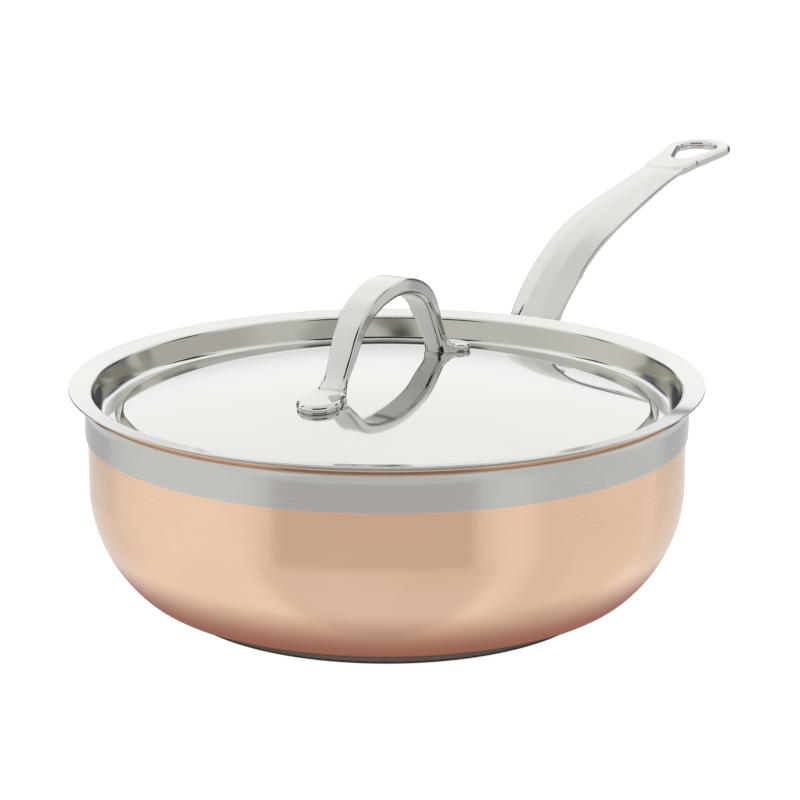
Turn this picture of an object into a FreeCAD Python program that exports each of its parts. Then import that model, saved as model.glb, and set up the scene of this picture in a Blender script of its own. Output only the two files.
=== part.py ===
"""Covered saute pan with one long handle and a lift-off lid.

Millimetres. The origin is the centre of the base's resting face, +Z is up and +X points along the long
handle, so the XZ plane is the pan's plane of symmetry.
"""
import os

import FreeCAD
import Part
import Sketcher

DIMENSIONS = {
    # pan wall, measured on the copper's outer face
    "wall_radius": 134.0,
    "lower_corner": 22.0,
    "upper_corner": 60.0,
    "corner_split": 43.0,
    "flare_start": 90.2,
    "flare_radius": 9.0,
    "flare_angle": 47.0,
    # the three plies, from the outside in
    "copper_ply": 0.7,
    "core_ply": 1.0,
    "liner_ply": 0.4,
    # base disc
    "base_radius": 97.0,
    "base_thickness": 5.4,
    "base_edge": 1.5,
    # steel band round the top of the wall
    "band_foot": 78.6,
    "band_thickness": 1.1,
    "band_flare": 32.0,
    # lid sheet
    "sheet": 0.9,
    "lid_radius": 142.5,
    "flange_slope": 10.0,
    "flange_root": 133.2,
    "flange_root_height": 98.9,
    "lid_corner": 2.2,
    "lid_wall_foot": 129.16,
    "lid_wall_lean": 15.7,
    "gutter_height": 86.6,
    "gutter_radius": 3.5,
    "step_radius": 2.0,
    "step_fall": 50.0,
    "dome_edge": 117.5,
    "dome_radius": 460.0,
    "dome_height": 105.5,
    # long handle
    "root_plate": 5.0,
    "root_foot": 46.0,
    "root_foot_rise": 6.0,
    "root_foot_round": 16.0,
    "root_top": 90.0,
    "root_top_round": 3.0,
    "root_spread": 22.0,
    "tip_start": 300.0,
    "tip_end": 369.8,
    "tip_height": 149.4,
    "tip_slope": 4.5,
    "tip_thickness": 5.0,
    "tip_width": 34.6,
    "tip_neck": 23.8,
    "tip_flare_end": 322.0,
    "tip_flare_width": 27.6,
    "tip_hollow": 127.0,
    "tip_swell": 140.0,
    "eye_start": 322.5,
    "eye_end": 359.5,
    "eye_radius": 10.2,
    "eye_neck": 4.6,
    "side_taper": 0.97,
    "side_share": 0.72,
    "under_share": 0.68,
    "lug_near": 179.0,
    "lug_far": 193.0,
    "lug_near_foot": 180.5,
    "lug_far_foot": 187.0,
    "lug_width": 14.0,
    "lug_foot": 108.5,
    "lug_heel": 109.5,
    "lug_head": 117.0,
    "lug_far_head": 122.0,
    "lug_round": 5.0,
    # handle rivets
    "rivet_radius": 3.0,
    "rivet_head_radius": 5.5,
    "rivet_head_rise": 1.6,
    "rivet_head_gap": 0.25,
    "rivet_turn": 6.2,
    "rivet_high": 73.5,
    "rivet_low": 60.0,
    # loop handle on the lid
    "loop_top": 146.7,
    "loop_crown_radius": 50.5,
    "loop_shoulder": 36.0,
    "loop_foot": 48.8,
    "loop_foot_height": 106.0,
    "loop_width": 12.4,
    "loop_leg": 5.5,
    "loop_haunch": 5.8,
    "loop_window_top": 139.4,
    "loop_window_radius": 47.0,
    "pad_centre": 60.0,
    "pad_radius": 10.0,
    "pad_inner": 42.5,
    "pad_top": 105.0,
    "pad_bottom": 97.0,
    # lid rivets
    "pin_radius": 2.2,
    "pin_head_radius": 4.2,
    "pin_head_rise": 1.4,
    "pin_reach": 60.0,
    "pin_offset": 5.0,
    "pin_seat_reach": 72.0,
    "pin_top": 103.8,
}

# Side, turn about the Z axis and height of the three rivets in the long handle's root.
RIVETS = [
    ("right", "-rivet_turn", "rivet_high"),
    ("left", "rivet_turn", "rivet_high"),
    ("low", "0", "rivet_low"),
]

# Stations along the long handle's arm: reach and height of the middle of the top face, heading above
# the horizontal, width, depth, half the width of the flat top facet and how far its bevels fall.
ARM_STATIONS = [
    (137.5, 60.0, 90.0, 19.0, 4.6, 6.0, 1.4),
    (137.8, 76.0, 88.0, 24.0, 8.0, 6.5, 1.6),
    (139.8, 88.5, 72.0, 26.0, 10.0, 6.5, 1.8),
    (148.5, 102.0, 47.0, 26.2, 10.0, 6.0, 2.0),
    (162.7, 114.1, 36.0, 27.7, 9.4, 5.6, 2.2),
    (182.9, 126.3, 26.5, 28.3, 8.8, 5.3, 2.4),
    (209.4, 136.0, 14.5, 29.2, 8.6, 4.6, 2.4),
    (239.6, 142.0, 10.2, 27.7, 8.2, 3.4, 2.3),
    (269.7, 146.4, 8.0, 24.8, 7.4, 2.5, 2.0),
    (291.8, 149.1, 7.7, 23.8, 6.2, 2.5, 1.6),
    (307.9, 150.6, 6.0, 24.0, 5.4, 3.0, 1.2),
]
ARM_TERMS = ("reach", "height", "heading", "width", "depth", "facet", "bevel")

doc = FreeCAD.newDocument("covered_pan")
sheet = doc.addObject("Spreadsheet::Sheet", "dims")


def fill_sheet():
    """Put every driving dimension in the spreadsheet as a plain number with an alias."""
    rows = dict(DIMENSIONS)
    for number, station in enumerate(ARM_STATIONS):
        for term, value in zip(ARM_TERMS, station):
            rows[f"arm_{term}_{number}"] = value
    for row, (alias, value) in enumerate(rows.items(), start=1):
        sheet.set(f"A{row}", alias)
        sheet.set(f"B{row}", str(value))
        sheet.setAlias(f"B{row}", alias)
    doc.recompute()


def with_sheet(expression):
    """Turn an expression in bare aliases into one that reads them from the sheet."""
    words = []
    word = ""
    for letter in expression + " ":
        if letter.isalnum() or letter == "_":
            word += letter
            continue
        is_alias = word and word[0].isalpha() and letter != "(" and word != "deg"
        words.append(f"dims.{word}" if is_alias else word)
        words.append(letter)
        word = ""
    return "".join(words).strip()


def value_of(expression):
    """Present value of an expression in the sheet's aliases."""
    result = sheet.evalExpression(with_sheet(expression))
    return float(getattr(result, "Value", result))


# ---------------------------------------------------------------- sketch and feature helpers

def new_body(label):
    body = doc.addObject("PartDesign::Body", label)
    body.Label = label
    return body


def origin_plane(body, role):
    for feature in body.Origin.OriginFeatures:
        if feature.Role == role:
            return feature
    raise ValueError(f"no origin plane {role}")


def new_sketch(body, name, role, offset=None):
    sketch = body.newObject("Sketcher::SketchObject", name)
    sketch.AttachmentSupport = (origin_plane(body, role), [""])
    sketch.MapMode = "FlatFace"
    if offset is not None:
        sketch.AttachmentOffset = offset
    return sketch


def raised_sketch(body, name, height):
    """Horizontal sketch at a height that is bound to the sheet."""
    lift = FreeCAD.Placement(FreeCAD.Vector(0, 0, value_of(height)), FreeCAD.Rotation())
    sketch = new_sketch(body, name, "XY_Plane", lift)
    sketch.setExpression("AttachmentOffset.Base.z", with_sheet(height))
    return sketch


def pin_point(sketch, edge, end, axis, expression):
    """Fix one coordinate of a sketch point to an expression."""
    if expression == "0":
        line = -2 if axis == "X" else -1
        sketch.addConstraint(Sketcher.Constraint("PointOnObject", edge, end, line))
        return
    kind = f"Distance{axis}"
    row = sketch.addConstraint(Sketcher.Constraint(kind, -1, 1, edge, end, value_of(expression)))
    sketch.setExpression(f"Constraints[{row}]", with_sheet(expression))


def arc_between(start, finish, radius, side):
    """Minor arc from start to finish with its centre on the left or the right of that direction.

    Returns the arc and whether it runs from start to finish in the sketcher's own sense.
    """
    chord = finish - start
    half = chord.Length / 2
    lift = (radius ** 2 - half ** 2) ** 0.5
    left = FreeCAD.Vector(-chord.y, chord.x, 0).normalize()
    centre = (start + finish) / 2 + left * (lift if side == "left" else -lift)
    circle = Part.Circle(centre, FreeCAD.Vector(0, 0, 1), radius)
    forward = side == "left"
    first, last = (start, finish) if forward else (finish, start)
    return Part.ArcOfCircle(circle, circle.parameter(first), circle.parameter(last)), forward


def draw_outline(sketch, corners):
    """Closed outline. A corner is (x, y) reached by a line, or (x, y, radius, side) reached by an arc."""
    points = [FreeCAD.Vector(value_of(corner[0]), value_of(corner[1]), 0) for corner in corners]
    ends = []
    for index, corner in enumerate(corners):
        start = points[index - 1]
        finish = points[index]
        if len(corner) == 2:
            edge = sketch.addGeometry(Part.LineSegment(start, finish))
            ends.append((edge, 1, 2))
            continue
        arc, forward = arc_between(start, finish, value_of(corner[2]), corner[3])
        edge = sketch.addGeometry(arc)
        ends.append((edge, 1, 2) if forward else (edge, 2, 1))
    for index, corner in enumerate(corners):
        edge, _, finish_end = ends[index]
        following, start_end, _ = ends[(index + 1) % len(ends)]
        sketch.addConstraint(Sketcher.Constraint("Coincident", edge, finish_end, following, start_end))
        pin_point(sketch, edge, finish_end, "X", corner[0])
        pin_point(sketch, edge, finish_end, "Y", corner[1])
        if len(corner) == 4:
            row = sketch.addConstraint(Sketcher.Constraint("Radius", edge, value_of(corner[2])))
            sketch.setExpression(f"Constraints[{row}]", with_sheet(corner[2]))


def draw_circle(sketch, x, y, radius):
    centre = FreeCAD.Vector(value_of(x), value_of(y), 0)
    circle = Part.Circle(centre, FreeCAD.Vector(0, 0, 1), value_of(radius))
    edge = sketch.addGeometry(circle)
    pin_point(sketch, edge, 3, "X", x)
    pin_point(sketch, edge, 3, "Y", y)
    row = sketch.addConstraint(Sketcher.Constraint("Radius", edge, value_of(radius)))
    sketch.setExpression(f"Constraints[{row}]", with_sheet(radius))


def revolve(body, name, corners, angle=None, kind="PartDesign::Revolution"):
    """Revolve an outline drawn in the XZ plane about the Z axis."""
    sketch = new_sketch(body, f"{name}_outline", "XZ_Plane")
    draw_outline(sketch, corners)
    feature = body.newObject(kind, name)
    feature.Profile = sketch
    feature.ReferenceAxis = (sketch, ["V_Axis"])
    if angle is None:
        feature.Angle = 360
    else:
        feature.Midplane = True
        feature.setExpression("Angle", with_sheet(angle))
    return feature


def pad(body, name, sketch, length, midplane=False, reverse=False):
    feature = body.newObject("PartDesign::Pad", name)
    feature.Profile = sketch
    feature.setExpression("Length", with_sheet(length))
    feature.Midplane = midplane
    feature.Reversed = reverse
    return feature


def pocket(body, name, sketch, length, midplane=False, reverse=False):
    feature = body.newObject("PartDesign::Pocket", name)
    feature.Profile = sketch
    feature.setExpression("Length", with_sheet(length))
    feature.Midplane = midplane
    feature.Reversed = reverse
    return feature


def must_cut(body, feature, earlier_volume):
    """Stop if a cutting feature left the solid as it was."""
    doc.recompute()
    if body.Shape.Volume > earlier_volume - 0.01:
        raise ValueError(f"{feature.Label} cuts nothing")


# ---------------------------------------------------------------- pan

def ply_path(depth):
    """Corners of the pan's wall line, from the axis to the lip, at a depth below the copper's face."""
    flat = "(wall_radius - upper_corner + (upper_corner - lower_corner) * sin(corner_split))"
    split_x = f"{flat} + (lower_corner - {depth}) * sin(corner_split)"
    split_y = f"base_thickness + lower_corner - (lower_corner - {depth}) * cos(corner_split)"
    top_of_corner = "base_thickness + lower_corner + (upper_corner - lower_corner) * cos(corner_split)"
    lip_x = f"wall_radius + flare_radius - (flare_radius + {depth}) * cos(flare_angle)"
    lip_y = f"flare_start + (flare_radius + {depth}) * sin(flare_angle)"
    return {
        "centre": ("0", f"base_thickness + {depth}"),
        "flat": (flat, f"base_thickness + {depth}"),
        "split": (split_x, split_y),
        "wall_foot": (f"wall_radius - {depth}", top_of_corner),
        "wall_head": (f"wall_radius - {depth}", "flare_start"),
        "lip": (lip_x, lip_y),
    }


def ply(label, outer_depth, inner_depth):
    """One layer of the pan: a bowl between two depths below the copper's outer face."""
    body = new_body(label)
    outer = ply_path(outer_depth)
    inner = ply_path(inner_depth)
    revolve(body, f"{label}_bowl", [
        outer["centre"],
        outer["flat"],
        outer["split"] + (f"lower_corner - {outer_depth}", "left"),
        outer["wall_foot"] + (f"upper_corner - {outer_depth}", "left"),
        outer["wall_head"],
        outer["lip"] + (f"flare_radius + {outer_depth}", "right"),
        inner["lip"],
        inner["wall_head"] + (f"flare_radius + {inner_depth}", "left"),
        inner["wall_foot"],
        inner["split"] + (f"upper_corner - {inner_depth}", "right"),
        inner["flat"] + (f"lower_corner - {inner_depth}", "right"),
        inner["centre"],
    ])
    drill_handle_rivets(body, label)
    return body


def drill_handle_rivets(body, label):
    """Drill the three radial rivet holes through the +X side of a piece."""
    for side, turn, height in RIVETS:
        doc.recompute()
        volume = body.Shape.Volume
        rotation = FreeCAD.Rotation(FreeCAD.Vector(0, 1, 0), value_of(turn))
        placement = FreeCAD.Placement(FreeCAD.Vector(), rotation)
        sketch = new_sketch(body, f"{label}_hole_{side}", "YZ_Plane", placement)
        if turn != "0":
            sketch.setExpression("AttachmentOffset.Rotation.Angle", with_sheet(turn))
        draw_circle(sketch, "0", height, "rivet_radius")
        hole = pocket(body, f"{label}_bore_{side}", sketch, "wall_radius * 1.3", reverse=True)
        must_cut(body, hole, volume)


def pan_plies():
    under_copper = "copper_ply"
    under_core = "(copper_ply + core_ply)"
    inside = "(copper_ply + core_ply + liner_ply)"
    return [
        ply("copper_shell", "0", under_copper),
        ply("aluminium_core", under_copper, under_core),
        ply("cooking_liner", under_core, inside),
    ]


def induction_base():
    body = new_body("induction_base")
    revolve(body, "base_disc", [
        ("0", "base_thickness"),
        ("0", "0"),
        ("base_radius - base_edge", "0"),
        ("base_radius", "base_edge", "base_edge", "left"),
        ("base_radius", "base_thickness"),
    ])
    return body


def rim_band():
    """Steel band that follows the wall and the start of the flare."""
    body = new_body("rim_band")
    inner_x = "wall_radius + flare_radius - flare_radius * cos(band_flare)"
    inner_y = "flare_start + flare_radius * sin(band_flare)"
    outer_x = "wall_radius + flare_radius - (flare_radius - band_thickness) * cos(band_flare)"
    outer_y = "flare_start + (flare_radius - band_thickness) * sin(band_flare)"
    revolve(body, "band_ring", [
        ("wall_radius", "band_foot"),
        ("wall_radius + band_thickness * 0.4", "band_foot"),
        ("wall_radius + band_thickness", "band_foot + band_thickness * 0.6",
         "band_thickness * 0.6", "left"),
        ("wall_radius + band_thickness", "flare_start"),
        (outer_x, outer_y, "flare_radius - band_thickness", "right"),
        (inner_x, inner_y),
        ("wall_radius", "flare_start", "flare_radius", "left"),
    ])
    return body


# ---------------------------------------------------------------- long handle

def arm_section(body, number):
    """Cross-section of the handle's arm: flat top facet, two bevels, sides and a narrower underside."""
    term = {name: f"arm_{name}_{number}" for name in ARM_TERMS}
    sketch = new_sketch(body, f"arm_section_{number}", "YZ_Plane")
    turn = FreeCAD.Rotation(FreeCAD.Vector(-1, 0, 0), value_of(term["heading"]))
    sketch.AttachmentOffset = FreeCAD.Placement(FreeCAD.Vector(), turn)
    sketch.setExpression("AttachmentOffset.Base.y", with_sheet(term["height"]))
    sketch.setExpression("AttachmentOffset.Base.z", with_sheet(term["reach"]))
    sketch.setExpression("AttachmentOffset.Rotation.Angle", with_sheet(term["heading"]))
    edge = f"{term['width']} / 2"
    side_foot = f"-{term['depth']} * side_share"
    draw_outline(sketch, [
        (f"-{term['facet']}", "0"),
        (f"-{edge}", f"-{term['bevel']}"),
        (f"-{edge} * side_taper", side_foot),
        (f"-{edge} * under_share", f"-{term['depth']}"),
        (f"{edge} * under_share", f"-{term['depth']}"),
        (f"{edge} * side_taper", side_foot),
        (edge, f"-{term['bevel']}"),
        (term["facet"], "0"),
    ])
    return sketch


def handle_arm(body):
    sections = [arm_section(body, number) for number in range(len(ARM_STATIONS))]
    loft = body.newObject("PartDesign::AdditiveLoft", "arm")
    loft.Profile = sections[0]
    loft.Sections = sections[1:]
    return loft


def handle_root(body):
    """Plate that wraps the wall under and over the band's step, cut to a sector of the full turn."""
    outer = "wall_radius + band_thickness + root_plate"
    revolve(body, "root_sector", [
        ("wall_radius", "root_foot"),
        (f"{outer} - root_plate * 0.4", "root_foot"),
        (outer, "root_foot + root_foot_rise", "root_foot_round", "left"),
        (outer, "root_top - root_top_round"),
        (f"{outer} - root_top_round", "root_top", "root_top_round", "left"),
        ("wall_radius + band_thickness", "root_top"),
        ("wall_radius + band_thickness", "band_foot"),
        ("wall_radius", "band_foot"),
    ], angle="root_spread")


def handle_tip(body):
    """Flat ring at the handle's end with a teardrop eye to hang it by."""
    slope = FreeCAD.Rotation(FreeCAD.Vector(0, 1, 0), -value_of("tip_slope"))
    sketch = new_sketch(body, "tip_outline", "XY_Plane", FreeCAD.Placement(FreeCAD.Vector(), slope))
    sketch.setExpression("AttachmentOffset.Base.z", with_sheet("tip_height"))
    sketch.setExpression("AttachmentOffset.Base.x", with_sheet("tip_start"))
    half = "tip_width / 2"
    flare = ("(tip_flare_end - tip_start)", "tip_flare_width / 2")
    nose = "(tip_end - tip_start)"
    cheek = f"({nose} - {half})"
    draw_outline(sketch, [
        ("0", "-tip_neck / 2"),
        (flare[0], f"-{flare[1]}", "tip_hollow", "right"),
        (cheek, f"-{half}", "tip_swell", "left"),
        (nose, "0", half, "left"),
        (cheek, half, half, "left"),
        flare + ("tip_swell", "left"),
        ("0", "tip_neck / 2", "tip_hollow", "right"),
    ])
    pad(body, "tip_ring", sketch, "tip_thickness", reverse=True)
    doc.recompute()
    volume = body.Shape.Volume
    eye = new_sketch(body, "eye_outline", "XY_Plane", FreeCAD.Placement(FreeCAD.Vector(), slope))
    eye.setExpression("AttachmentOffset.Base.z", with_sheet("tip_height"))
    eye.setExpression("AttachmentOffset.Base.x", with_sheet("tip_start"))
    near = "(eye_start - tip_start)"
    wide = "(eye_end - tip_start - eye_radius)"
    draw_outline(eye, [
        (f"{near} + eye_neck", "-eye_neck", "eye_neck", "left"),
        (wide, "-eye_radius"),
        (f"{wide} + eye_radius", "0", "eye_radius", "left"),
        (wide, "eye_radius", "eye_radius", "left"),
        (f"{near} + eye_neck", "eye_neck"),
        (near, "0", "eye_neck", "left"),
    ])
    hole = pocket(body, "eye", eye, "tip_thickness * 8", midplane=True)
    must_cut(body, hole, volume)


def finger_lug(body):
    """Small rounded stop under the arm that keeps the hand off the hot root."""
    sketch = new_sketch(body, "lug_outline", "XZ_Plane")
    draw_outline(sketch, [
        ("lug_near", "lug_head"),
        ("lug_near_foot", "lug_heel"),
        ("lug_far_foot", "lug_foot", "lug_round", "left"),
        ("lug_far", "lug_far_head"),
    ])
    pad(body, "finger_lug", sketch, "lug_width", midplane=True)


def long_handle():
    body = new_body("handle")
    handle_arm(body)
    handle_root(body)
    finger_lug(body)
    handle_tip(body)
    doc.recompute()
    drill_handle_rivets(body, "handle")
    return body


def handle_rivet(side, turn, height):
    """One rivet, lying along its body's X axis: shank through the wall and a low head inside."""
    body = new_body(f"rivet_{side}")
    sketch = new_sketch(body, f"rivet_outline_{side}", "XZ_Plane")
    # the flat underside of the head stands off the round wall, so that only the shank goes through it
    seat = "(wall_radius - copper_ply - core_ply - liner_ply - rivet_head_gap)"
    draw_outline(sketch, [
        (f"{seat} - rivet_head_rise", "0"),
        ("wall_radius + band_thickness + root_plate", "0"),
        ("wall_radius + band_thickness + root_plate", "rivet_radius"),
        (seat, "rivet_radius"),
        (seat, "rivet_head_radius"),
        (f"{seat} - rivet_head_rise * 0.25", "rivet_head_radius"),
        (f"{seat} - rivet_head_rise", "rivet_head_radius * 0.45", "rivet_head_radius * 0.8", "left"),
    ])
    turned = body.newObject("PartDesign::Revolution", f"rivet_turned_{side}")
    turned.Profile = sketch
    turned.ReferenceAxis = (sketch, ["H_Axis"])
    turned.Angle = 360
    place = FreeCAD.Vector(0, 0, value_of(height))
    body.Placement = FreeCAD.Placement(place, FreeCAD.Rotation(FreeCAD.Vector(0, 0, 1), value_of(turn)))
    body.setExpression("Placement.Base.z", with_sheet(height))
    if turn != "0":
        body.setExpression("Placement.Rotation.Angle", with_sheet(turn))
    return body


def handle_rivets():
    group = doc.addObject("Part::Compound", "handle_rivets")
    group.Label = "handle_rivets"
    group.Links = [handle_rivet(*rivet) for rivet in RIVETS]
    return group


# ---------------------------------------------------------------- lid

def lid_line(depth):
    """Corners of the lid's upper face, from the axis to the rim, moved down by a depth."""
    # the dome's slope at its edge, and the centre of the step's upper rounding
    edge_sine = "(dome_edge / dome_radius)"
    edge_cosine = f"sqrt(1 - {edge_sine} * {edge_sine})"
    edge_height = f"(dome_height - dome_radius * (1 - {edge_cosine}))"
    brow_x = f"(dome_edge - step_radius * {edge_sine})"
    brow_y = f"({edge_height} - step_radius * {edge_cosine})"
    # the step falls straight from its upper rounding to its lower one, which ends in the gutter's floor
    fall_x = "sin(step_fall)"
    fall_y = "cos(step_fall)"
    run = f"(({brow_y} + 2 * step_radius * {fall_y} - gutter_height - step_radius) / {fall_x})"
    floor_x = f"({brow_x} + 2 * step_radius * {fall_x} + {run} * {fall_y})"
    floor_y = "(gutter_height + step_radius)"
    lean_x = "cos(lid_wall_lean)"
    lean_y = "sin(lid_wall_lean)"
    # the gutter turns about a centre that keeps its upper face tangent to the leaning wall
    gutter_x = f"(lid_wall_foot - gutter_radius * {lean_x})"
    gutter_y = "(gutter_height + gutter_radius)"
    wall_foot_x = f"{gutter_x} + (gutter_radius + {depth}) * {lean_x}"
    wall_foot_y = f"{gutter_y} - (gutter_radius + {depth}) * {lean_y}"
    slope_x = "sin(flange_slope)"
    slope_y = "cos(flange_slope)"
    corner_x = f"(flange_root + lid_corner * {slope_x})"
    corner_y = f"(flange_root_height - lid_corner * {slope_y})"
    wall_head_x = f"{corner_x} - (lid_corner - {depth}) * {lean_x}"
    wall_head_y = f"{corner_y} + (lid_corner - {depth}) * {lean_y}"
    flange_x = f"{corner_x} - (lid_corner - {depth}) * {slope_x}"
    flange_y = f"{corner_y} + (lid_corner - {depth}) * {slope_y}"
    reach = "(lid_radius - flange_root)"
    return {
        "top": ("0", f"dome_height - {depth}"),
        "dome_edge": (f"dome_edge - {depth} * {edge_sine}", f"{edge_height} - {depth} * {edge_cosine}"),
        "step_head": (f"{brow_x} + (step_radius - {depth}) * {fall_x}",
                      f"{brow_y} + (step_radius - {depth}) * {fall_y}"),
        "step_foot": (f"{floor_x} - (step_radius + {depth}) * {fall_x}",
                      f"{floor_y} - (step_radius + {depth}) * {fall_y}"),
        "floor": (floor_x, f"gutter_height - {depth}"),
        "gutter": (gutter_x, f"gutter_height - {depth}"),
        "wall_foot": (wall_foot_x, wall_foot_y),
        "wall_head": (wall_head_x, wall_head_y),
        "flange_root": (flange_x, flange_y),
        "rim": (f"{flange_x} + {reach} * {slope_y}", f"{flange_y} + {reach} * {slope_x}"),
    }


def lid_panel():
    body = new_body("lid_panel")
    upper = lid_line("0")
    lower = lid_line("sheet")
    revolve(body, "lid_pressing", [
        upper["top"] + ("dome_radius", "left"),
        lower["top"],
        lower["dome_edge"] + ("dome_radius - sheet", "right"),
        lower["step_head"] + ("step_radius - sheet", "right"),
        lower["step_foot"],
        lower["floor"] + ("step_radius + sheet", "left"),
        lower["gutter"],
        lower["wall_foot"] + ("gutter_radius + sheet", "left"),
        lower["wall_head"],
        lower["flange_root"] + ("lid_corner - sheet", "right"),
        lower["rim"],
        upper["rim"],
        upper["flange_root"],
        upper["wall_head"] + ("lid_corner", "left"),
        upper["wall_foot"],
        upper["gutter"] + ("gutter_radius", "right"),
        upper["floor"],
        upper["step_foot"] + ("step_radius", "right"),
        upper["step_head"],
        upper["dome_edge"] + ("step_radius", "left"),
    ])
    for name, reach, offset in lid_pin_places():
        doc.recompute()
        volume = body.Shape.Volume
        sketch = new_sketch(body, f"panel_hole_{name}", "XY_Plane")
        draw_circle(sketch, reach, offset, "pin_radius")
        hole = pocket(body, f"panel_bore_{name}", sketch, "dome_height + 10", reverse=True)
        must_cut(body, hole, volume)
    return body


def lid_pin_places():
    """Name, reach and offset of the lid's four rivets, two in each foot of the loop."""
    places = []
    for end in ("front", "rear"):
        for side in ("right", "left"):
            reach = "pin_reach" if end == "front" else "-pin_reach"
            offset = "pin_offset" if side == "left" else "-pin_offset"
            places.append((f"{end}_{side}", reach, offset))
    return places


def under_dome():
    """Outline of everything under the dome's upper face, out past the loop's feet."""
    reach = "(pad_centre + pad_radius + loop_leg)"
    drop = f"(dome_radius - sqrt(dome_radius * dome_radius - {reach} * {reach}))"
    return [
        ("0", "dome_height", "dome_radius", "left"),
        ("0", "pad_bottom - dome_edge / 10"),
        (reach, "pad_bottom - dome_edge / 10"),
        (reach, f"dome_height - {drop}"),
    ]


def lid_handle():
    """Loop of flat strap with a wide foot at each end, shaped underneath to the dome."""
    body = new_body("lid_handle")
    crown_depth = "sqrt(loop_crown_radius * loop_crown_radius - loop_shoulder * loop_shoulder)"
    shoulder = f"loop_top - loop_crown_radius + {crown_depth}"
    window_edge = "(loop_shoulder - loop_haunch)"
    window_depth = f"sqrt(loop_window_radius * loop_window_radius - {window_edge} * {window_edge})"
    window = f"loop_window_top - loop_window_radius + {window_depth}"
    sketch = new_sketch(body, "loop_side", "XZ_Plane")
    draw_outline(sketch, [
        ("-loop_shoulder", shoulder, "loop_crown_radius", "left"),
        ("-loop_foot", "loop_foot_height"),
        ("-loop_foot", "pad_bottom"),
        ("-loop_foot + loop_leg", "pad_bottom"),
        ("-loop_foot + loop_leg", "loop_foot_height"),
        (f"-{window_edge}", window),
        (window_edge, window, "loop_window_radius", "right"),
        ("loop_foot - loop_leg", "loop_foot_height"),
        ("loop_foot - loop_leg", "pad_bottom"),
        ("loop_foot", "pad_bottom"),
        ("loop_foot", "loop_foot_height"),
        ("loop_shoulder", shoulder),
    ])
    pad(body, "loop_strap", sketch, "loop_width", midplane=True)
    for side, sign in (("front", ""), ("rear", "-")):
        foot = raised_sketch(body, f"foot_{side}", "pad_bottom")
        turn = "left" if side == "front" else "right"
        draw_outline(foot, [
            (f"{sign}pad_inner", "-loop_width / 2"),
            (f"{sign}pad_centre", "-pad_radius"),
            (f"{sign}(pad_centre + pad_radius)", "0", "pad_radius", turn),
            (f"{sign}pad_centre", "pad_radius", "pad_radius", turn),
            (f"{sign}pad_inner", "loop_width / 2"),
        ])
        pad(body, f"foot_pad_{side}", foot, "pad_top - pad_bottom")
    doc.recompute()
    volume = body.Shape.Volume
    groove = revolve(body, "dome_seat", under_dome(), kind="PartDesign::Groove")
    must_cut(body, groove, volume)
    for name, reach, offset in lid_pin_places():
        volume = body.Shape.Volume
        sketch = new_sketch(body, f"foot_hole_{name}", "XY_Plane")
        draw_circle(sketch, reach, offset, "pin_radius")
        hole = pocket(body, f"foot_bore_{name}", sketch, "pin_top", reverse=True)
        must_cut(body, hole, volume)
    return body


def lid_rivet(name, reach, offset):
    """One lid rivet: low head against the panel's underside and a shank up into the foot."""
    body = new_body(f"pin_{name}")
    head_foot = "dome_height - sheet - (pin_reach * pin_reach) / (2 * dome_radius) - pin_head_rise"
    head = raised_sketch(body, f"pin_head_{name}", head_foot)
    draw_circle(head, reach, offset, "pin_head_radius")
    pad(body, f"pin_head_pad_{name}", head, "pin_head_rise + 1")
    doc.recompute()
    volume = body.Shape.Volume
    inner = "(dome_radius - sheet)"
    seat_edge = f"dome_height - dome_radius + sqrt({inner} * {inner} - pin_seat_reach * pin_seat_reach)"
    above = [
        ("0", "dome_height - sheet"),
        ("pin_seat_reach", seat_edge, inner, "right"),
        ("pin_seat_reach", "loop_top"),
        ("0", "loop_top"),
    ]
    groove = revolve(body, f"pin_seat_{name}", above, kind="PartDesign::Groove")
    must_cut(body, groove, volume)
    shank = raised_sketch(body, f"pin_shank_{name}", "pin_top")
    draw_circle(shank, reach, offset, "pin_radius")
    pad(body, f"pin_shank_pad_{name}", shank, f"pin_top - ({head_foot})", reverse=True)
    return body


def lid_rivets():
    group = doc.addObject("Part::Compound", "lid_rivets")
    group.Label = "lid_rivets"
    group.Links = [lid_rivet(*place) for place in lid_pin_places()]
    return group


# ---------------------------------------------------------------- checks and files

def check_document():
    for item in doc.Objects:
        if "Invalid" in item.State or "Error" in item.State:
            raise ValueError(f"{item.Label} failed: {item.State}")


def check_node(node):
    if node.Shape.isNull() or not node.Shape.isValid():
        raise ValueError(f"{node.Label} has no valid shape")
    box = node.Shape.BoundBox
    print(f"{node.Label:16s} {len(node.Shape.Solids)} solid(s) {node.Shape.Volume:10.0f} mm3"
          f"  x {box.XMin:.1f}..{box.XMax:.1f}  y {box.YMin:.1f}..{box.YMax:.1f}"
          f"  z {box.ZMin:.1f}..{box.ZMax:.1f}")


def main():
    fill_sheet()
    nodes = pan_plies()
    nodes.append(rim_band())
    nodes.append(induction_base())
    nodes.append(long_handle())
    nodes.append(handle_rivets())
    nodes.append(lid_panel())
    nodes.append(lid_handle())
    nodes.append(lid_rivets())
    doc.recompute()
    check_document()
    for node in nodes:
        check_node(node)
    os.makedirs("parts", exist_ok=True)
    for node in nodes:
        node.Shape.exportStep(f"parts/{node.Label}.step")


main()
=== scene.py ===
"""Finished look of the covered saute pan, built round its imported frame.

The outlines and shapes below are in millimetres, in the frame of the CAD part: the origin is the centre of
the base's resting face, +Z is up and +X points along the long handle. Blender objects are in metres.
"""
import math

import bmesh
import bpy
import numpy as np
from mathutils import Matrix, Vector


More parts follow.
